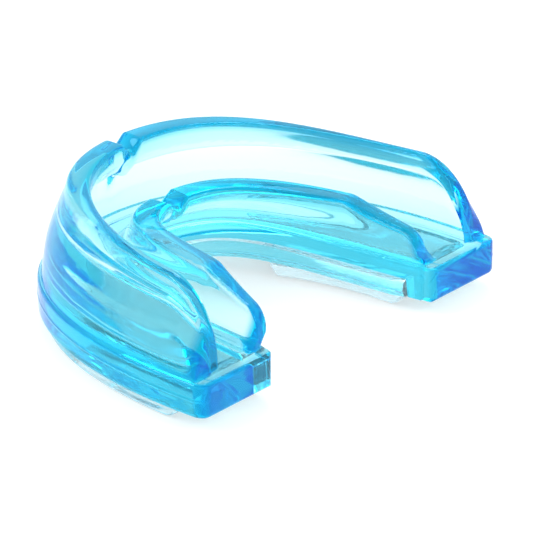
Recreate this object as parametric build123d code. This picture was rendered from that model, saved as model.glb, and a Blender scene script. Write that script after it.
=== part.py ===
from build123d import *
import os
from math import hypot

os.makedirs("parts", exist_ok=True)

# Mouthguard for an upper arch with braces. The front teeth sit at -Y, both tails point to +Y,
# +Z is up and the guard rests on its two bite pads at Z = 0. It mirrors across X = 0.

# ---- driving dimensions, mm -------------------------------------------------------------
ARCH_HALF_WIDTH = 31.0      # outer side of a tail block
ARCH_HALF_DEPTH = 23.9      # front of the arch to the middle, and the middle to the tails
TAIL_INNER_X = 16.6         # inner side of a tail block
SLAB_FRONT_WIDTH = 11.4     # slab, front to back, on the centre line

PAD_HEIGHT = 2.0            # bite pads below the slab
SLAB_TOP = 7.0              # floor of the tooth channel
INSERT_TOP = 4.6            # top of the insert, a clear strip along the slab's tongue side
INSERT_PROUD = 1.1          # the insert stands proud of the slab, towards the tongue
INSERT_DEPTH = 2.5          # and reaches this far into it
INSERT_END_Y = 19.7         # the insert stops here, ahead of the solid tail blocks

OUTER_WALL_END_Y = 22.0     # rear face of the outer flange, set in from the tail face
OUTER_REAR_RUN = 8.4        # its rear corner is a quarter ellipse, this long
OUTER_REAR_DROP = 11.6      # and this high
INNER_WALL_END_Y = 21.7     # rear face of the inner flange
INNER_KINK = (9.8, 14.9)    # Y and Z where the inner flange's top starts to slope down
INNER_SLOPE_END = (19.3, 12.5)  # Y and Z where that slope turns into the rear corner
INNER_REAR_DROP = 3.0       # height of the rounded corner behind that slope

TAIL_CORNER_OUT = 1.8       # plan radii of a tail block
TAIL_CORNER_IN = 1.2
FRENUM_HALF_WIDTH = 1.95    # notch for the upper lip's frenum
FRENUM_DEPTH = 1.5
PALATE_HALF_WIDTH = 3.4     # shallow notch in the inner flange
PALATE_DEPTH = 1.5

STATIONS = 20               # lofted sections along each half of the arch
FAR = 60.0                  # beyond every face, for trimming tools


# ---- plan curves: each is the right half of a U, mirrored for the left ---------------------
def half_arch(front_y, reach_x, side_x, side_y, tail_x, tail_y):
    """Four control points, square to X = 0 in front and easing into the arm behind."""
    return [(0, front_y), (reach_x, front_y), (side_x, side_y), (tail_x, tail_y)]


OUTSIDE = half_arch(-ARCH_HALF_DEPTH, 25.0, 32.4, 1.2, ARCH_HALF_WIDTH, ARCH_HALF_DEPTH)
INSIDE = half_arch(-ARCH_HALF_DEPTH + SLAB_FRONT_WIDTH, 14.9, 14.9, 7.6,
                   TAIL_INNER_X, ARCH_HALF_DEPTH)
INSERT_OUT = half_arch(INSIDE[0][1] - INSERT_DEPTH, 16.8, 17.4, 5.4,
                       TAIL_INNER_X + INSERT_DEPTH - 0.3, INSERT_END_Y)
INSERT_IN = half_arch(INSIDE[0][1] + INSERT_PROUD, 13.9, 13.5, 6.0,
                      TAIL_INNER_X - INSERT_PROUD - 0.2, INSERT_END_Y)
PAD_OUT = half_arch(-ARCH_HALF_DEPTH + 0.9, 24.2, 31.4, 1.2, ARCH_HALF_WIDTH - 0.9, 19.5)
PAD_IN = half_arch(INSIDE[0][1] - 0.4, 15.1, 15.3, 6.0, TAIL_INNER_X + 0.1, 19.5)


def mirrored(points):
    return [(-x, y) for x, y in points]


def arch_face(outer, inner):
    """The U-shaped face between two half arches and their mirror images."""
    tail_out, tail_in = outer[-1], inner[-1]
    edges = [
        Bezier(*outer),
        Line(tail_out, tail_in),
        Bezier(*inner),
        Bezier(*mirrored(inner)),
        Line((-tail_in[0], tail_in[1]), (-tail_out[0], tail_out[1])),
        Bezier(*mirrored(outer)),
    ]
    return make_face(edges)


def arch_point(t):
    """Point and inward normal of the outside curve; t runs -1 to 1, left tail to right."""
    u = abs(t)
    side = 1 if t >= 0 else -1
    p = OUTSIDE
    weights = ((1 - u) ** 3, 3 * u * (1 - u) ** 2, 3 * u * u * (1 - u), u ** 3)
    slopes = ((1 - u) ** 2, 2 * u * (1 - u), u * u)
    x = sum(w * q[0] for w, q in zip(weights, p))
    y = sum(w * q[1] for w, q in zip(weights, p))
    dx = sum(s * (p[i + 1][0] - p[i][0]) for i, s in enumerate(slopes))
    dy = sum(s * (p[i + 1][1] - p[i][1]) for i, s in enumerate(slopes))
    size = hypot(dx, dy)
    return (side * x, y), (-side * dy / size, dx / size)


def blend(front, middle, tail):
    """A value along the arch: the even quartic through its front, half-way and tail values."""
    square = (16 * (middle - front) - (tail - front)) / 3
    fourth = tail - front - square

    def at(t):
        return front + square * t ** 2 + fourth * t ** 4
    return at


def wall(section):
    """Loft a closed section, given as (inset, height) pairs at each t, round the arch."""
    wires = []
    for i in range(-STATIONS, STATIONS + 1):
        t = i / STATIONS
        (x, y), (nx, ny) = arch_point(t)
        points = [(x + nx * inset, y + ny * inset, z) for inset, z in section(t)]
        wires.append(Wire.make_polygon([Vector(*p) for p in points], close=True))
    return Solid.make_loft(wires)


def side_trim(upper, rear_corner):
    """A block as wide as the arch, to shape a wall's rear end. Its side outline is the upper
    edge's (Y, Z) points, then a curved rear corner from four control points, then straight down."""
    end_y = rear_corner[-1][0]
    outline = make_face([
        Polyline((-FAR, SLAB_TOP), *upper, rear_corner[0]),
        Bezier(*rear_corner),
        Polyline(rear_corner[-1], (end_y, SLAB_TOP), (-FAR, SLAB_TOP)),
    ])
    return extrude(Plane.YZ * outline, FAR, both=True)


def vee(half_width, depth, top_z):
    """A V-shaped cutter along Y on the centre line."""
    over = 3.0
    reach = half_width * (depth + over) / depth
    outline = Polygon((0, top_z - depth), (reach, top_z + over), (-reach, top_z + over),
                      align=None)
    return extrude(Plane.XZ * outline, FAR, both=True)


# ---- outer flange: thick rolled rim, groove for the brackets, thick foot -------------------
rim_top = blend(20.3, 19.5, 19.2)
rim_outer = blend(3.3, 4.4, 2.2)
rim_inner = blend(7.7, 7.4, 5.2)


def outer_section(t):
    top, out, inn = rim_top(t), rim_outer(t), rim_inner(t)
    return [
        (0.5, SLAB_TOP),
        (0.4 + 0.28 * out, SLAB_TOP + 6.0),
        (out, top - 1.6),
        (out + 0.5, top - 0.5),
        (out + 1.6, top),
        (inn - 0.8, top - 0.1),
        (inn, top - 0.8),
        (inn, top - 2.2),
        (inn - 1.1, top - 3.6),
        (inn - 1.9, SLAB_TOP + 8.6),
        (0.28 * out + 2.6, SLAB_TOP + 8.2),
        (0.28 * out + 2.5, SLAB_TOP + 4.4),
        (3.6, SLAB_TOP + 3.8),
        (3.9, SLAB_TOP),
    ]


outer_flange = wall(outer_section)
rim_z = rim_top(1)
outer_rear = [
    (OUTER_WALL_END_Y - OUTER_REAR_RUN, rim_z),
    (OUTER_WALL_END_Y - 0.45 * OUTER_REAR_RUN, rim_z),
    (OUTER_WALL_END_Y, rim_z - 0.45 * OUTER_REAR_DROP),
    (OUTER_WALL_END_Y, rim_z - OUTER_REAR_DROP),
]
outer_flange = outer_flange & side_trim([(-FAR, rim_z + 2), (8.0, rim_z + 2)], outer_rear)
outer_flange = outer_flange - vee(FRENUM_HALF_WIDTH, FRENUM_DEPTH, rim_top(0))

# ---- inner flange: leans over the tongue side, thick in front and thin at the tails ---------
inner_top = blend(14.0, 14.6, 15.4)
inner_channel = blend(12.2, 14.0, 13.1)
inner_tongue = blend(16.4, 18.2, 14.8)
slab_inset = blend(11.4, 14.2, 14.4)


def inner_section(t):
    top, near, far = inner_top(t), inner_channel(t), inner_tongue(t)
    foot = slab_inset(t) - 0.7
    return [
        (foot, SLAB_TOP),
        (foot + 0.3 * (far - foot), SLAB_TOP + 2.6),
        (far - 0.4, top - 2.0),
        (far, top - 0.8),
        (far - 0.5, top - 0.1),
        (near + 0.4, top),
        (near, top - 0.5),
        (near - 0.2, top - 2.0),
        (foot - 2.3, SLAB_TOP + 1.6),
        (foot - 3.0, SLAB_TOP),
    ]


inner_flange = wall(inner_section)
slope_z = INNER_SLOPE_END[1]
inner_rear = [
    INNER_SLOPE_END,
    (INNER_WALL_END_Y - 0.9, slope_z - 0.5),
    (INNER_WALL_END_Y, slope_z - 0.5 * INNER_REAR_DROP),
    (INNER_WALL_END_Y, slope_z - INNER_REAR_DROP),
]
inner_flange = inner_flange & side_trim([(-FAR, FAR), (INNER_KINK[0], FAR), INNER_KINK], inner_rear)
inner_flange = inner_flange - vee(PALATE_HALF_WIDTH, PALATE_DEPTH, inner_top(0))

# ---- slab: floor of the channel and tail blocks, with a rebate for the insert --------------
def plan_solid(outer, inner, low, high):
    return extrude(Pos(0, 0, low) * arch_face(outer, inner), high - low)


def upright_edges(solid, inner_side, middle):
    """The upright corner edges at the tails, on the tongue side or the cheek side of middle."""
    upright = solid.edges().filter_by(Axis.Z).filter_by(lambda e: e.center().Y > 0)
    return upright.filter_by(lambda e: (abs(e.center().X) < middle) == inner_side)


slab = plan_solid(OUTSIDE, INSIDE, PAD_HEIGHT, SLAB_TOP)
tail_middle = 0.5 * (ARCH_HALF_WIDTH + TAIL_INNER_X)
slab = fillet(upright_edges(slab, False, tail_middle), TAIL_CORNER_OUT)
slab = fillet(upright_edges(slab, True, tail_middle), TAIL_CORNER_IN)
slab = fillet(slab.edges().group_by(Axis.Z)[-1], 0.6)

insert = plan_solid(INSERT_OUT, INSERT_IN, PAD_HEIGHT, INSERT_TOP)
slab = slab - insert
insert = fillet(upright_edges(insert, True, TAIL_INNER_X), 0.5)

# ---- bite pads: one under each arm, from the canine to just ahead of the tail block ---------
PAD_REGION = [(9.6, -1.6), (30.0, -12.8), (FAR, -12.8), (FAR, 19.2), (9.6, 19.2)]

pads = {}
for side, name in ((1, "bite_pad_right"), (-1, "bite_pad_left")):
    region = Polygon(*[(side * x, y) for x, y in PAD_REGION], align=None)
    foot = arch_face(PAD_OUT, PAD_IN) & region
    pad = extrude(foot, PAD_HEIGHT)
    pad = fillet(pad.edges().filter_by(Axis.Z), 2.0)
    pads[name] = chamfer(pad.edges().group_by(Axis.Z)[0], 1.2, 0.9)

nodes = {
    "outer_flange": outer_flange,
    "inner_flange": inner_flange,
    "bite_slab": slab,
    "bite_insert": insert,
    **pads,
}
for name, shape in nodes.items():
    export_step(shape, f"parts/{name}.step")
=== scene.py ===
"""A clear blue silicone mouthguard for braces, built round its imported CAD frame."""

import bmesh
import bpy
import numpy as np
from bpy.props import FloatProperty, FloatVectorProperty, PointerProperty
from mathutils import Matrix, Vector


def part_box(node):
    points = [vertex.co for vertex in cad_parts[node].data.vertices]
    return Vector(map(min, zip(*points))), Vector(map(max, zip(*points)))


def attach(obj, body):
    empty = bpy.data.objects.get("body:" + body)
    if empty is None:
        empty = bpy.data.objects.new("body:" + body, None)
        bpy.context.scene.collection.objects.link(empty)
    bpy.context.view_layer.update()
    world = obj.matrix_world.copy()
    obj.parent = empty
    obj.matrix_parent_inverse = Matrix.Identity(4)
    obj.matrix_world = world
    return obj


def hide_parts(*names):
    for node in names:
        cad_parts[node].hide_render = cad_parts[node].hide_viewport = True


bl_info = {
    "name": "Silicone Mouthguard",
    "version": (1, 0, 0),
    "blender": (4, 5, 0),
    "location": "View3D > Sidebar > Mouthguard",
    "description": "Builds a clear silicone mouthguard with its bite insert, bite pads and stage",
    "category": "Add Mesh",
}

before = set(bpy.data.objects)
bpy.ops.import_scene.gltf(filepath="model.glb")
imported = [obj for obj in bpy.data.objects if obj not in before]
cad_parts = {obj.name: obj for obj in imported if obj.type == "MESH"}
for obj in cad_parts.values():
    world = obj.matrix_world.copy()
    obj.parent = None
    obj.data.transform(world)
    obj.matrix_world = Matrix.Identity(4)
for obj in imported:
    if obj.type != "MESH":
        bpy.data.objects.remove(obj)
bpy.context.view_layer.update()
MM = 0.001
MERGE_DISTANCE = 2e-6


def cad_top(node):
    """The top of a CAD node, in millimetres."""
    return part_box(node)[1].z / MM


def cad_bottom(node):
    """The bottom of a CAD node, in millimetres."""
    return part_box(node)[0].z / MM


# ---------------------------------------------------------------- arch
ARCH_HALF_WIDTH = 31.0
ARCH_HALF_DEPTH = 23.9
TAIL_WIDTH = 14.4
STRIP_DEPTH = 2.5

OUTSIDE = np.array([
    (0, -ARCH_HALF_DEPTH),
    (25.0, -ARCH_HALF_DEPTH),
    (32.4, 1.2),
    (ARCH_HALF_WIDTH, ARCH_HALF_DEPTH),
])

OUTER_END_Y = 22.0
OUTER_REAR_RUN = 8.4
OUTER_REAR_DROP = 11.6
INNER_END_Y = 21.7
INNER_KINK = (9.8, 14.9)
INNER_SLOPE_END = (19.3, 12.5)
INSERT_END_Y = 19.7

# Insets and heights along the arch: in front, half-way and at the tails.
RIM_TOP = (20.3, 19.5, 19.2)
RIM_OUTER = (3.3, 4.4, 2.2)
RIM_INNER = (7.7, 7.4, 5.2)
INNER_TOP = (14.0, 14.6, 15.2)
INNER_CHANNEL = (12.2, 14.0, 13.1)
INNER_TONGUE = (16.4, 18.2, 14.8)
SLAB_WIDTH = (11.4, 14.2, TAIL_WIDTH)

# Half-width, depth and softness of each V-shaped notch.
FRENUM_NOTCH = (2.1, 1.5, 0.5)
PALATE_NOTCH = (3.4, 1.3, 0.9)

TAIL_RADIUS_OUT = 1.8
TAIL_RADIUS_IN = 1.2
TAIL_EDGE_RADIUS = 0.6
PART_GAP = 0.02


def blend(front, middle, tail):
    """A value along the arch: the even quartic through its front, half-way and tail values."""
    square = (16 * (middle - front) - (tail - front)) / 3
    fourth = tail - front - square
    return lambda t: front + square * t**2 + fourth * t**4


def smooth(low, high, x):
    """Cubic step from 0 at low to 1 at high."""
    s = np.clip((x - low) / (high - low), 0, 1)
    return s * s * (3 - 2 * s)


def place(t, inset, height):
    """Points at arch parameters t (-1 to 1), insets from the outside curve and heights, all in mm.

    The outside curve is a cubic Bezier of |t|. A point lies on the curve's normal, inset mm
    inwards. Towards the tails the normal's lengthways part fades out, so the tail faces are flat.
    """
    side, a = np.sign(t), np.abs(t)
    b = 1 - a
    weights = np.stack([b**3, 3 * b * b * a, 3 * b * a * a, a**3], -1)
    slopes = np.stack([-3 * b * b, 3 * b * b - 6 * b * a, 6 * b * a - 3 * a * a, 3 * a * a], -1)
    point, slope = weights @ OUTSIDE, slopes @ OUTSIDE
    size = np.hypot(slope[..., 0], slope[..., 1])
    normal_x, normal_y = -slope[..., 1] / size, slope[..., 0] / size
    normal_y = normal_y * (1 - smooth(0.72, 1.0, a))
    x = np.where(side == 0, 0, side) * (point[..., 0] + inset * normal_x)
    y = point[..., 1] + inset * normal_y
    return np.stack([x, y, height + 0 * x], -1)


def arch_y(t):
    """Y of the outside curve at t, in mm."""
    return place(np.abs(t), 0 * t, 0 * t)[..., 1]


TABLE_T = np.linspace(0, 1, 4001)
TABLE_Y = arch_y(TABLE_T)


def t_at_y(y):
    """The arch parameter where the outside curve reaches y."""
    return np.interp(y, TABLE_Y, TABLE_T)


def rounded_loop(corners, cuts, steps):
    """Round a closed polygon's corners, for every station at once.

    corners is (stations, corners, 2). At each corner a quadratic Bezier runs between two points
    that lie cut mm along its two edges, or half an edge if that is shorter.
    """
    before = np.roll(corners, 1, axis=1) - corners
    after = np.roll(corners, -1, axis=1) - corners
    cuts = np.asarray(cuts)[None, :, None]
    back = before * np.minimum(cuts / (np.linalg.norm(before, axis=2, keepdims=True) + 1e-9), 0.5)
    ahead = after * np.minimum(cuts / (np.linalg.norm(after, axis=2, keepdims=True) + 1e-9), 0.5)
    s = np.linspace(0, 1, steps)[None, None, :, None]
    arc = corners[:, :, None] + back[:, :, None] * (1 - s) ** 2 + ahead[:, :, None] * s**2
    return arc.reshape(len(corners), -1, 2)


def closed_skin(name, grid, painted_shade=None):
    """Mesh from rings of points (stations, ring, 3) in mm, wound so that faces point outwards.

    Both ends are closed by rings that shrink to the end ring's middle, and a fan. The painted
    shade, one value for each grid point, becomes the point attribute that the material reads as
    painted shade: a deeper blue standing in for the long light paths through rims and ends.
    """
    if painted_shade is None:
        painted_shade = np.zeros(grid.shape[:2])
    painted_shade = np.concatenate([painted_shade[:1]] * 3 + [painted_shade] + [painted_shade[-1:]] * 3).ravel()
    painted_shade = np.concatenate([painted_shade, [painted_shade[0], painted_shade[-1]]])
    middle_0, middle_1 = grid[:1].mean(1, keepdims=True), grid[-1:].mean(1, keepdims=True)
    shares = np.array([0.15, 0.5, 0.85])[:, None, None]
    first = grid[:1] * shares + middle_0 * (1 - shares)
    last = grid[-1:] * shares[::-1] + middle_1 * (1 - shares[::-1])
    grid = np.concatenate([first, grid, last])
    rows, ring = grid.shape[:2]
    points = np.concatenate([grid.reshape(-1, 3), middle_0[0], middle_1[0]]) * MM
    index = np.arange(rows * ring).reshape(rows, ring)
    a, b = index[:-1], np.roll(index[:-1], -1, 1)
    c, d = np.roll(index[1:], -1, 1), index[1:]
    quads = np.stack([a, b, c, d], -1).reshape(-1, 4)
    start, end = rows * ring, rows * ring + 1
    fan_0 = np.stack([np.roll(index[0], -1), index[0], np.full(ring, start)], -1)
    fan_1 = np.stack([index[-1], np.roll(index[-1], -1), np.full(ring, end)], -1)
    faces = quads.tolist() + fan_0.tolist() + fan_1.tolist()
    mesh = bpy.data.meshes.new(name)
    mesh.from_pydata(points.tolist(), [], faces)
    # Point attribute of painted shade: a deeper blue painted where long light paths would deepen
    # the colour, not the silicone's own colour
    attribute = mesh.attributes.new("Painted Shade", "FLOAT", "POINT")
    attribute.data.foreach_set("value", painted_shade.astype(np.float32))
    if signed_volume(points, quads) < 0:
        mesh.flip_normals()
    mesh.shade_smooth()
    merge_doubles(mesh)
    obj = bpy.data.objects.new(name, mesh)
    bpy.context.scene.collection.objects.link(obj)
    return obj


def merge_doubles(mesh):
    """Merge points that fall together where a corner's rounding is longer than its edge."""
    work = bmesh.new()
    work.from_mesh(mesh)
    bmesh.ops.remove_doubles(work, verts=work.verts, dist=MERGE_DISTANCE)
    work.to_mesh(mesh)
    work.free()


def signed_volume(points, quads):
    """Volume inside the quads by the divergence theorem; negative when they face inwards."""
    a, b, c, d = (points[quads[:, i]] for i in range(4))
    halves = (np.einsum("ij,ij->i", a, np.cross(p, q)) for p, q in ((b, c), (c, d)))
    return sum(halves).sum() / 6


# ---------------------------------------------------------------- tray
DRAFT = 0.32
END_ROUND = 0.8
ARC_STEPS = 5
# Painted shade on the tail blocks, in place of the deep blue that long light paths give there
TAIL_PAINTED_SHADE = 0.6
CORNER_DROP = 2.7
KINK_SOFTNESS = 0.12


def rear_drop(y, end_y):
    """1 ahead of a flange's rear face, falling to 0 over the steep draft behind it."""
    return smooth(-DRAFT, 0.0, end_y - y)


def outer_height(y, top):
    """Height of the outer flange along y: level, then a quarter ellipse."""
    into = np.clip((y - OUTER_END_Y + OUTER_REAR_RUN) / OUTER_REAR_RUN, 0, 1)
    return top - OUTER_REAR_DROP * (1 - np.sqrt(1 - into**2))


def inner_height(y, top):
    """Height of the inner flange along y: level, a straight slope from the kink, a round corner.

    The least of the three is taken softly, so the kink and the corner are not sharp.
    """
    slope = (INNER_SLOPE_END[1] - INNER_KINK[1]) / (INNER_SLOPE_END[0] - INNER_KINK[0])
    sloping = INNER_KINK[1] + slope * (y - INNER_KINK[0])
    into = np.clip((y - INNER_SLOPE_END[0]) / (INNER_END_Y - INNER_SLOPE_END[0]), 0, 1)
    rounded = sloping - CORNER_DROP * (1 - np.sqrt(1 - into**2))
    return 0.5 * (top + rounded - np.sqrt((top - rounded) ** 2 + KINK_SOFTNESS**2))


def rear_pinch(y, end_y):
    """How far each side of a flange draws in near its rear face, so its upright edges are round."""
    room = np.clip(end_y + DRAFT - y, 0, END_ROUND)
    return END_ROUND - np.sqrt(END_ROUND**2 - (END_ROUND - room) ** 2)


def notch(x, half_width, depth, soft):
    """Depth of a soft V-shaped notch at x."""
    edge = np.sqrt(soft**2 + half_width**2)
    here = np.sqrt(soft**2 + np.minimum(np.abs(x), half_width) ** 2)
    return depth * (edge - here) / (edge - soft)


def tray_stations():
    """Arch parameters along the tray: even in front, closer at the notches and the rear ends."""
    front = np.arange(0, 4.2, 0.22) / 75
    arm = np.linspace(front[-1], t_at_y(14.0), 54)[1:]
    rear_y = np.concatenate(
        [
            np.arange(14.3, 21.3, 0.3),
            np.arange(21.3, 22.45, 0.07),
            np.arange(22.5, 23.3, 0.15),
            ARCH_HALF_DEPTH - 0.6 * (1 - np.sin(np.linspace(0, np.pi / 2, 9))),
        ]
    )
    half = np.concatenate([front, arm, t_at_y(rear_y)])
    half[-1] = 1.0
    return np.concatenate([-half[:0:-1], half])


def painted_rear_shade(y, end_y):
    """Painted shade for a flange's rear face: 1 on the face and the first millimetre ahead of it,
    fading over the next.
    """
    return smooth(end_y - 2.2, end_y - 0.9, y)


def flatten(points, kept):
    """Move corners to an even row between the first and the last, where kept falls to 0.

    Behind a flange's rear face its corners then lie in order on the slab, without a fold.
    """
    first, last = points[0][0][:, 0], points[-1][0][:, 0]
    for i, (corner, _, _) in enumerate(points):
        row = first + (last - first) * i / (len(points) - 1)
        corner[:, 0] = row + (corner[:, 0] - row) * kept
    return points


def tray_section(t, slab_top, slab_low, insert_top):
    """Corners of the tray's cross-section at every t, as (inset, height), their cut lengths and
    their painted shade, a deeper blue on rims, rear faces and tail blocks standing in for long
    light paths.

    Both flanges keep their shape while the rear ends and the notches lower them: each height
    above the slab is scaled by the lowered top over the full top.
    """
    a = np.abs(t)
    y = arch_y(t)
    x = place(t, 0 * t, 0 * t)[..., 0]
    one = np.ones_like(a)

    # outer flange
    top = blend(*RIM_TOP)(a)
    out = blend(*RIM_OUTER)(a)
    inn = blend(*RIM_INNER)(a)
    lowered = outer_height(y, top) - notch(x, *FRENUM_NOTCH)
    scale = (lowered - slab_top) / (top - slab_top) * rear_drop(y, OUTER_END_Y)
    pinch = rear_pinch(y, OUTER_END_Y)

    def outer(inset, height, side):
        raised = slab_top + (height * one - slab_top) * scale
        return np.stack([inset * one + side * pinch, raised], -1)

    kept = rear_drop(y, OUTER_END_Y)
    groove = 1 - smooth(17.0, 21.0, y)
    # The third number of each corner is painted shade: 1 paints the deepest blue, for the long
    # light paths along rim tops and edges
    outer_points = [
        (outer(0.55, slab_top, 1), 0.3, 0.0),
        (outer(0.45 + 0.12 * out, slab_top + 3.0, 1), 3.0, 0.0),
        (outer(0.4 + 0.28 * out, slab_top + 6.0, 1), 3.0, 0.0),
        (outer(out, top - 1.7, 1), 1.6, 0.0),
        (outer(out + 0.4, top - 0.3, 1), 0.8, 0.1),
        (outer(out + 1.15, top + 0.03, 1), 0.35, 0.8),
        (outer(inn - 0.5, top, -1), 0.3, 1.0),
        (outer(inn - 0.05, top - 0.35, -1), 0.3, 0.8),
        (outer(inn, top - 2.2, -1), 1.0, 0.25),
        (outer(inn - 1.0 * groove, top - 3.5, -1), 1.0, 0.0),
        (outer(inn - 1.5 * groove - 0.2, slab_top + 8.7, -1), 0.5, 0.15),
        (outer(0.28 * out + 2.7 + 0.5 * (1 - groove), slab_top + 8.1, -1), 0.5, 0.0),
        (outer(0.28 * out + 2.5 + 0.7 * (1 - groove), slab_top + 4.5, -1), 0.5, 0.0),
        (outer(3.6, slab_top + 3.8, -1), 0.5, 0.1),
        (outer(3.95, slab_top, -1), 0.6, 0.1),
    ]
    outer_points = flatten(outer_points, kept)

    # inner flange
    top = blend(*INNER_TOP)(a)
    near = blend(*INNER_CHANNEL)(a)
    far = blend(*INNER_TONGUE)(a)
    inside = blend(*SLAB_WIDTH)(a)
    foot = inside - 0.7
    lowered = inner_height(y, top) - notch(x, *PALATE_NOTCH)
    scale = (lowered - slab_top) / (top - slab_top) * rear_drop(y, INNER_END_Y)
    pinch = rear_pinch(y, INNER_END_Y)

    def inner(inset, height, side):
        raised = slab_top + (height * one - slab_top) * scale
        return np.stack([inset * one + side * pinch, raised], -1)

    # The third number of each corner is painted shade, as on the outer flange
    inner_points = [
        (inner(foot - 3.0, slab_top, 1), 0.7, 0.1),
        (inner(foot - 2.3, slab_top + 1.6, 1), 1.6, 0.0),
        (inner(near - 0.2, top - 2.0, 1), 1.6, 0.0),
        (inner(near, top - 0.4, 1), 0.3, 0.3),
        (inner(near + 0.45, top, 1), 0.3, 0.9),
        (inner(far - 0.5, top - 0.05, -1), 0.35, 1.0),
        (inner(far, top - 0.6, -1), 0.4, 0.3),
        (inner(far - 0.35, top - 2.1, -1), 1.2, 0.0),
        (inner(foot + 0.3 * (far - foot), slab_top + 2.6, -1), 2.0, 0.0),
        (inner(foot + 0.05, slab_top, -1), 0.5, 0.2),
    ]
    inner_points = flatten(inner_points, rear_drop(y, INNER_END_Y))

    # slab, hollowed from below where the insert sits
    hollow = 1 - smooth(INSERT_END_Y - 0.02, INSERT_END_Y + 0.3, y)
    ceiling = slab_low + (insert_top - slab_low) * hollow

    def slab(inset, height):
        return np.stack([inset * one, height * one], -1)

    bead = 0.10
    slab_points = [
        (slab(inside, slab_top), 0.5, 0.3),
        (slab(inside, ceiling), 0.1, 0.3),
        (slab(inside - STRIP_DEPTH, ceiling), 0.1, 0.0),
        (slab(inside - STRIP_DEPTH, slab_low), 0.2, 0.0),
        (slab(0.0, slab_low), 0.8, 0.2),
        (slab(0.0, insert_top - 0.22), 0.15, 0.3),
        (slab(-bead, insert_top), 0.2, 0.3),
        (slab(0.0, insert_top + 0.22), 0.15, 0.3),
        (slab(0.0, slab_top - 0.35), 0.35, 0.3),
        (slab(0.3, slab_top - 0.02), 0.2, 0.1),
    ]
    ordered = outer_points + inner_points + slab_points
    corners = np.stack([corner for corner, _, _ in ordered], 1)
    cuts = [cut for _, cut, _ in ordered]
    # Painted shade from the corners, raised to painted shade on the flanges' rear faces and on the
    # tail blocks
    painted_shade = np.repeat(np.array([depth for _, _, depth in ordered])[None], len(t), 0)
    rear = painted_rear_shade(y, OUTER_END_Y)[:, None]
    is_flange = (corners[..., 1] > slab_top + 0.3).astype(float)
    tail = smooth(ARCH_HALF_DEPTH - 1.6, ARCH_HALF_DEPTH - 0.2, y)[:, None]
    painted_shade = np.maximum(painted_shade, np.maximum(rear * is_flange, TAIL_PAINTED_SHADE * tail))
    return corners, cuts, painted_shade


def tail_round(grid, t, slab_top, slab_low):
    """Round the tail blocks: each ring's insets draw in from both sides by quarter circles, and
    its heights by a smaller one, over the last few millimetres before the tail face."""
    left = ARCH_HALF_DEPTH - arch_y(t)

    def draw_in(radius):
        room = np.clip(left, 0, radius)
        return (radius - np.sqrt(np.maximum(radius**2 - (radius - room) ** 2, 0)))[:, None]

    inset, height = grid[..., 0], grid[..., 1]
    outer, inner = draw_in(TAIL_RADIUS_OUT), draw_in(TAIL_RADIUS_IN)
    edge = draw_in(TAIL_EDGE_RADIUS)
    share = np.clip(inset / TAIL_WIDTH, 0, 1)
    flat = outer + (TAIL_WIDTH - inner - outer) * share
    near_tail = (left < TAIL_RADIUS_OUT + 0.05)[:, None]
    new_inset = np.where(near_tail, np.where(inset < 0, inset + outer, flat), inset)
    middle = (slab_top + slab_low) / 2
    squash = 1 - edge / ((slab_top - slab_low) / 2)
    squashed = middle + (height - middle) * squash
    new_height = np.where(near_tail & (height <= slab_top), squashed, height)
    return np.stack([new_inset, new_height], -1)


def make_tray():
    """The bonded tray: slab and both flanges as one closed skin."""
    t = tray_stations()
    slab_top, slab_low = cad_top("bite_slab"), cad_bottom("bite_slab")
    corners, cuts, painted_shade = tray_section(t, slab_top, slab_low, cad_top("bite_insert"))
    ring = rounded_loop(corners, cuts, ARC_STEPS)
    ring = tail_round(ring, t, slab_top, slab_low)
    stations = np.repeat(t[:, None], ring.shape[1], 1)
    grid = place(stations, ring[..., 0], ring[..., 1])
    return closed_skin("silicone_tray", grid, np.repeat(painted_shade, ARC_STEPS, 1))


# ---------------------------------------------------------------- insert and pads
INSERT_PROUD = 1.1
INSERT_ROUND = 0.25
PAD_LENGTH = 28
PAD_RAMP = 1.8
PAD_ROUND = 1.6
PAD_NARROWING = 1.1
PAD_START_OUT_Y = -14.6
PAD_START_IN_Y = -8.5
PAD_END_Y = 19.2


def make_insert():
    """The insert: a rounded bar along the slab's tongue side, proud of it.

    Its section slides along the arch. Stations crowd towards both ends, where a quarter circle
    draws the lip in.
    """
    body_y = np.linspace(-ARCH_HALF_DEPTH, 18.5, 70)
    end_y = INSERT_END_Y - 1.2 * (1 - np.sin(np.linspace(0, np.pi / 2, 10)))
    half = t_at_y(np.concatenate([body_y, end_y]))
    half = np.maximum.accumulate(half)
    half = np.concatenate([np.linspace(0, half[2], 8)[:-1], half[2:]])
    t = np.concatenate([-half[:0:-1], half])
    a = np.abs(t)
    low, high = cad_bottom("bite_insert"), cad_top("bite_insert") - PART_GAP
    inside = blend(*SLAB_WIDTH)(a)
    proud = INSERT_PROUD * (1 - 0.3 * smooth(17.5, INSERT_END_Y, arch_y(t)))
    room = np.clip(INSERT_END_Y - arch_y(t), 0, INSERT_ROUND)
    shrink = INSERT_ROUND - np.sqrt(INSERT_ROUND**2 - (INSERT_ROUND - room) ** 2)
    lip = inside + proud - shrink
    back = inside - STRIP_DEPTH + PART_GAP
    one = np.ones_like(a)
    corners = np.stack(
        [
            np.stack([back, low * one], -1),
            np.stack([back, high * one], -1),
            np.stack([lip - 0.45, high * one], -1),
            np.stack([lip, (high + PART_GAP - 0.6) * one], -1),
            np.stack([lip + 0.05, (low + 0.9) * one], -1),
            np.stack([lip - 0.3, low * one], -1),
        ],
        1,
    )
    ring = rounded_loop(corners, [0.15, 0.15, 0.35, 0.5, 0.5, 0.5], 6)
    stations = np.repeat(t[:, None], ring.shape[1], 1)
    return closed_skin("bite_insert_bar", place(stations, ring[..., 0], ring[..., 1]))


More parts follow.
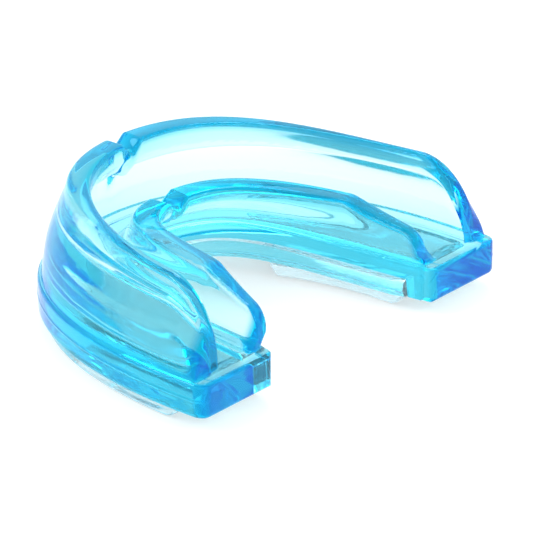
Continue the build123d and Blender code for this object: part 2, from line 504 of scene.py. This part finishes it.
def make_pad(name, side):
    """A bite pad: a rounded bar between two arch positions.

    Its front end is oblique, because the start position falls with the inset, and both ends
    ramp up to the slab.
    """
    end = 1 - np.cos(np.linspace(0.1, np.pi / 2, 10))
    s = np.concatenate([[0], end, np.linspace(1.5, 26.5, 40)])
    s = np.concatenate([s, PAD_LENGTH - s[:11][::-1]])
    to_end = np.minimum(s, s[-1] - s)
    share = (s / s[-1])[:, None]
    top = cad_bottom("bite_slab")
    middle_t = t_at_y(5.0)
    inside = float(blend(*SLAB_WIDTH)(middle_t))
    ramp = np.clip(to_end / PAD_RAMP, 0, 1)
    low = top * (1 - (0.12 + 0.88 * ramp))
    squeeze = PAD_NARROWING * (1 - np.sqrt(1 - (1 - np.clip(to_end / PAD_ROUND, 0, 1)) ** 2))
    one = np.ones_like(s)
    corners = np.stack(
        [
            np.stack([0.95 + squeeze, (top - PART_GAP) * one], -1),
            np.stack([inside - 0.35 - squeeze, (top - PART_GAP) * one], -1),
            np.stack([inside - 0.45 - squeeze, low + 0.3 * ramp], -1),
            np.stack([inside - 0.95 - squeeze, low], -1),
            np.stack([1.6 + squeeze, low], -1),
            np.stack([1.1 + squeeze, low + 0.3 * ramp], -1),
        ],
        1,
    )
    ring = rounded_loop(corners, [0.1, 0.1, 0.4, 0.4, 0.4, 0.4], 6)
    across = np.clip(ring[..., 0] / inside, 0, 1)
    start = t_at_y(PAD_START_OUT_Y) * (1 - across) + t_at_y(PAD_START_IN_Y) * across
    t = side * (start + (t_at_y(PAD_END_Y) - start) * share)
    return closed_skin(name, place(t, ring[..., 0], ring[..., 1]))


# ---------------------------------------------------------------- materials
SILICONE_IOR = 1.41
REFLECTION_TINT = (0.3, 0.85, 1.0, 1)
# Surface colours: the thin-wall colour, and the painted shade of deep blue for rims and ends
BLUE_THIN, BLUE_PAINTED_SHADE = (1.0, 1.0, 1.0), (0.0, 0.50, 0.80)
CLEAR_THIN, CLEAR_PAINTED_SHADE = (0.92, 0.98, 1.0), (0.8, 0.9, 1.0)


def new_material(name):
    """An empty node material."""
    material = bpy.data.materials.new(name)
    material.use_nodes = True
    material.node_tree.nodes.clear()
    return material


def moulded_skin_group():
    """Shared effect: the soft waviness and fine marks of moulded silicone.

    Height is large soft noise plus faint fine noise; Roughness is a base with cloudy smudges.
    """
    group = bpy.data.node_groups.get("Moulded Skin")
    if group:
        return group
    group = bpy.data.node_groups.new("Moulded Skin", "ShaderNodeTree")
    for name, default in (("Wave Size", 160.0), ("Fine Size", 900.0), ("Fine Share", 0.003),
                          ("Roughness Low", 0.02), ("Roughness High", 0.08)):
        socket = group.interface.new_socket(name, in_out="INPUT", socket_type="NodeSocketFloat")
        socket.default_value = default
    group.interface.new_socket("Height", in_out="OUTPUT", socket_type="NodeSocketFloat")
    group.interface.new_socket("Roughness", in_out="OUTPUT", socket_type="NodeSocketFloat")
    nodes, links = group.nodes, group.links
    inputs, outputs = nodes.new("NodeGroupInput"), nodes.new("NodeGroupOutput")
    coordinates = nodes.new("ShaderNodeTexCoord")
    wave, fine, smudge = (nodes.new("ShaderNodeTexNoise") for _ in range(3))
    wave.inputs["Detail"].default_value = 1.0
    fine.inputs["Detail"].default_value = 2.0
    smudge.inputs["Scale"].default_value = 220.0
    smudge.inputs["Detail"].default_value = 3.0
    for noise in (wave, fine, smudge):
        links.new(coordinates.outputs["Object"], noise.inputs["Vector"])
    links.new(inputs.outputs["Wave Size"], wave.inputs["Scale"])
    links.new(inputs.outputs["Fine Size"], fine.inputs["Scale"])
    scaled = nodes.new("ShaderNodeMath")
    scaled.operation = "MULTIPLY_ADD"
    links.new(fine.outputs["Fac"], scaled.inputs[0])
    links.new(inputs.outputs["Fine Share"], scaled.inputs[1])
    links.new(wave.outputs["Fac"], scaled.inputs[2])
    links.new(scaled.outputs[0], outputs.inputs["Height"])
    ranged = nodes.new("ShaderNodeMapRange")
    ranged.inputs["From Min"].default_value = 0.35
    ranged.inputs["From Max"].default_value = 0.7
    links.new(smudge.outputs["Fac"], ranged.inputs["Value"])
    links.new(inputs.outputs["Roughness Low"], ranged.inputs["To Min"])
    links.new(inputs.outputs["Roughness High"], ranged.inputs["To Max"])
    links.new(ranged.outputs["Result"], outputs.inputs["Roughness"])
    return group


def silicone(name, skin_colour, painted_shade_colour, clearness, tint, absorption, waviness):
    """Clear silicone: a glass-like surface over an absorbing inside.

    The surface colour runs from pale on thin walls to a painted shade of deep blue on rims and
    ends, read from the painted shade attribute; it stands in for the long light paths that deepen
    the blue there.
    """
    material = new_material(name)
    nodes, links = material.node_tree.nodes, material.node_tree.links
    output = nodes.new("ShaderNodeOutputMaterial")
    surface = nodes.new("ShaderNodeBsdfPrincipled")
    # Reads the painted shade attribute: deep blue painted on rims and ends in place of long light
    # paths
    depth = nodes.new("ShaderNodeAttribute")
    depth.attribute_name = "Painted Shade"
    colour = nodes.new("ShaderNodeMix")
    colour.data_type = "RGBA"
    colour.inputs["A"].default_value = (*skin_colour, 1)
    colour.inputs["B"].default_value = (*painted_shade_colour, 1)
    links.new(depth.outputs["Fac"], colour.inputs["Factor"])
    links.new(colour.outputs["Result"], surface.inputs["Base Color"])
    surface.inputs["Metallic"].default_value = 0.0
    surface.inputs["Transmission Weight"].default_value = clearness
    surface.inputs["IOR"].default_value = SILICONE_IOR
    surface.inputs["Specular Tint"].default_value = REFLECTION_TINT
    inside = nodes.new("ShaderNodeVolumeAbsorption")
    inside.inputs["Color"].default_value = (*tint, 1)
    inside.inputs["Density"].default_value = absorption
    skin = nodes.new("ShaderNodeGroup")
    skin.node_tree = moulded_skin_group()
    bump = nodes.new("ShaderNodeBump")
    bump.inputs["Strength"].default_value = waviness
    bump.inputs["Distance"].default_value = 0.001
    links.new(skin.outputs["Height"], bump.inputs["Height"])
    links.new(bump.outputs["Normal"], surface.inputs["Normal"])
    links.new(skin.outputs["Roughness"], surface.inputs["Roughness"])
    links.new(surface.outputs["BSDF"], output.inputs["Surface"])
    links.new(inside.outputs["Volume"], output.inputs["Volume"])
    return material


def floor_material(colour, glow):
    """A matt sheet with a very faint mottle, lit from below like a light table."""
    material = new_material("pale_sheet")
    nodes, links = material.node_tree.nodes, material.node_tree.links
    output = nodes.new("ShaderNodeOutputMaterial")
    surface = nodes.new("ShaderNodeBsdfPrincipled")
    noise = nodes.new("ShaderNodeTexNoise")
    noise.inputs["Scale"].default_value = 6.0
    ramp = nodes.new("ShaderNodeValToRGB")
    ramp.color_ramp.elements[0].color = tuple(c * 0.985 for c in colour) + (1,)
    ramp.color_ramp.elements[1].color = tuple(colour) + (1,)
    coordinates = nodes.new("ShaderNodeTexCoord")
    links.new(coordinates.outputs["Object"], noise.inputs["Vector"])
    links.new(noise.outputs["Fac"], ramp.inputs["Fac"])
    links.new(ramp.outputs["Color"], surface.inputs["Base Color"])
    surface.inputs["Roughness"].default_value = 0.9
    surface.inputs["Specular IOR Level"].default_value = 0.1
    surface.inputs["Emission Color"].default_value = (1, 1, 1, 1)
    surface.inputs["Emission Strength"].default_value = glow
    links.new(surface.outputs["BSDF"], output.inputs["Surface"])
    return material


def use_material(obj, material):
    """Give the object this one material."""
    obj.data.materials.clear()
    obj.data.materials.append(material)


# ---------------------------------------------------------------- stage
FLOOR_GAP = -0.0002
FLOOR_HALF = 3.0
LIGHT_BOUNCES = 32
CAMERA_AT = (430.8, 380.0, 273.9)
CAMERA_TARGET = (-6.5, 2.5, 4.7)

# Name, place, size and power, in metres and watts; each faces the object.
SOFT_BOXES = (
    ("soft_box_left", (0.75, -0.65, 0.75), (0.6, 0.5), 6.5),
    ("soft_box_right", (-0.1, 0.9, 0.8), (0.3, 0.4), 2.2),
    ("soft_box_top", (-0.45, -0.35, 1.0), (0.4, 0.4), 2.6),
)


# ---------------------------------------------------------------- settings
class MouthguardSettings(bpy.types.PropertyGroup):
    """What a user would change."""

    tint: FloatVectorProperty(
        name="Tint", description="Colour that the blue silicone lets through",
        subtype="COLOR", size=3, min=0, max=1, default=(0.05, 0.900, 0.977))
    absorption: FloatProperty(
        name="Absorption", description="How strongly the blue silicone absorbs, per metre",
        default=140.0, min=0, max=2000)
    clear_tint: FloatVectorProperty(
        name="Insert Tint", description="Colour that the insert and pads let through",
        subtype="COLOR", size=3, min=0, max=1, default=(0.30, 0.85, 0.97))
    clear_absorption: FloatProperty(
        name="Insert Absorption", description="How strongly the insert and pads absorb, per metre",
        default=20.0, min=0, max=2000)
    waviness: FloatProperty(
        name="Waviness", description="Strength of the moulded skin's soft ripples",
        default=0.07, min=0, max=1, subtype="FACTOR")
    floor_colour: FloatVectorProperty(
        name="Floor", description="Colour of the floor sheet",
        subtype="COLOR", size=3, min=0, max=1, default=(0.6, 0.6, 0.6))
    floor_glow: FloatProperty(
        name="Floor Glow", description="Light that the floor sheet gives off itself",
        default=0.5, min=0, max=2)
    lens: FloatProperty(
        name="Lens", description="Focal length of the camera", default=311.0,
        min=20, max=1000, unit="CAMERA")


# ---------------------------------------------------------------- operators
class MOUTHGUARD_OT_tray(bpy.types.Operator):
    """Build the blue tray: the slab and both flanges"""

    bl_idname = "mouthguard.tray"
    bl_label = "Build Tray"

    def execute(self, context):
        settings = context.scene.mouthguard
        tray = make_tray()
        use_material(tray, silicone("blue_silicone", BLUE_THIN, BLUE_PAINTED_SHADE, 1.0,
                                    settings.tint, settings.absorption, settings.waviness))
        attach(tray, "root")
        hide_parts("bite_slab", "outer_flange", "inner_flange")
        return {"FINISHED"}


class MOUTHGUARD_OT_bite(bpy.types.Operator):
    """Build the soft insert and the two bite pads"""

    bl_idname = "mouthguard.bite"
    bl_label = "Build Insert and Pads"

    def execute(self, context):
        settings = context.scene.mouthguard
        material = silicone("clear_silicone", CLEAR_THIN, CLEAR_PAINTED_SHADE, 0.92, settings.clear_tint,
                            settings.clear_absorption, settings.waviness)
        insert = make_insert()
        right = make_pad("bite_pad_right_skin", 1)
        left = make_pad("bite_pad_left_skin", -1)
        pieces = ((insert, "bite_insert"), (right, "bite_pad_right"), (left, "bite_pad_left"))
        for obj, node in pieces:
            use_material(obj, material)
            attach(obj, "root")
            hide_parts(node)
        return {"FINISHED"}


class MOUTHGUARD_OT_stage(bpy.types.Operator):
    """Set the floor, the lights, the world and the camera"""

    bl_idname = "mouthguard.stage"
    bl_label = "Set Stage"

    def execute(self, context):
        settings = context.scene.mouthguard
        scene = context.scene
        corners = [(x * FLOOR_HALF, y * FLOOR_HALF, FLOOR_GAP)
                   for x, y in ((-1, -1), (1, -1), (1, 1), (-1, 1))]
        mesh = bpy.data.meshes.new("floor_sheet")
        mesh.from_pydata(corners, [], [(0, 1, 2, 3)])
        floor = bpy.data.objects.new("floor_sheet", mesh)
        scene.collection.objects.link(floor)
        use_material(floor, floor_material(settings.floor_colour, settings.floor_glow))

        world = bpy.data.worlds.new("soft_white")
        scene.world = world
        world.use_nodes = True
        world.node_tree.nodes["Background"].inputs["Color"].default_value = (1, 1, 1, 1)
        world.node_tree.nodes["Background"].inputs["Strength"].default_value = 0.95

        for name, place_at, size, power in SOFT_BOXES:
            light = bpy.data.lights.new(name, "AREA")
            light.shape = "RECTANGLE"
            light.size, light.size_y = size
            light.energy = power
            lamp = bpy.data.objects.new(name, light)
            lamp.location = place_at
            lamp.rotation_euler = (-Vector(place_at)).to_track_quat("-Z", "Y").to_euler()
            scene.collection.objects.link(lamp)

        data = bpy.data.cameras.new("camera")
        data.lens = settings.lens
        data.sensor_width = 36.0
        data.clip_end = 20
        camera = bpy.data.objects.new("camera", data)
        camera.location = Vector(CAMERA_AT) * MM
        target = Vector(CAMERA_TARGET) * MM
        camera.rotation_euler = (target - camera.location).to_track_quat("-Z", "Y").to_euler()
        scene.collection.objects.link(camera)
        scene.camera = camera
        scene.view_settings.view_transform = "Standard"
        scene.cycles.max_bounces = LIGHT_BOUNCES
        scene.cycles.transmission_bounces = LIGHT_BOUNCES
        scene.cycles.glossy_bounces = LIGHT_BOUNCES
        return {"FINISHED"}


class MOUTHGUARD_PT_panel(bpy.types.Panel):
    """Mouthguard builder"""

    bl_label = "Mouthguard"
    bl_space_type = "VIEW_3D"
    bl_region_type = "UI"
    bl_category = "Mouthguard"

    def draw(self, context):
        layout = self.layout
        settings = context.scene.mouthguard
        for name in settings.__annotations__:
            layout.prop(settings, name)
        for operator in OPERATORS:
            layout.operator(operator.bl_idname)


OPERATORS = (MOUTHGUARD_OT_tray, MOUTHGUARD_OT_bite, MOUTHGUARD_OT_stage)
CLASSES = (MouthguardSettings, *OPERATORS, MOUTHGUARD_PT_panel)


def register():
    for cls in CLASSES:
        bpy.utils.register_class(cls)
    bpy.types.Scene.mouthguard = PointerProperty(type=MouthguardSettings)


def unregister():
    del bpy.types.Scene.mouthguard
    for cls in reversed(CLASSES):
        bpy.utils.unregister_class(cls)


def main():
    """Register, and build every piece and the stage."""
    register()
    bpy.ops.mouthguard.tray()
    bpy.ops.mouthguard.bite()
    bpy.ops.mouthguard.stage()


if __name__ == "__main__":
    main()
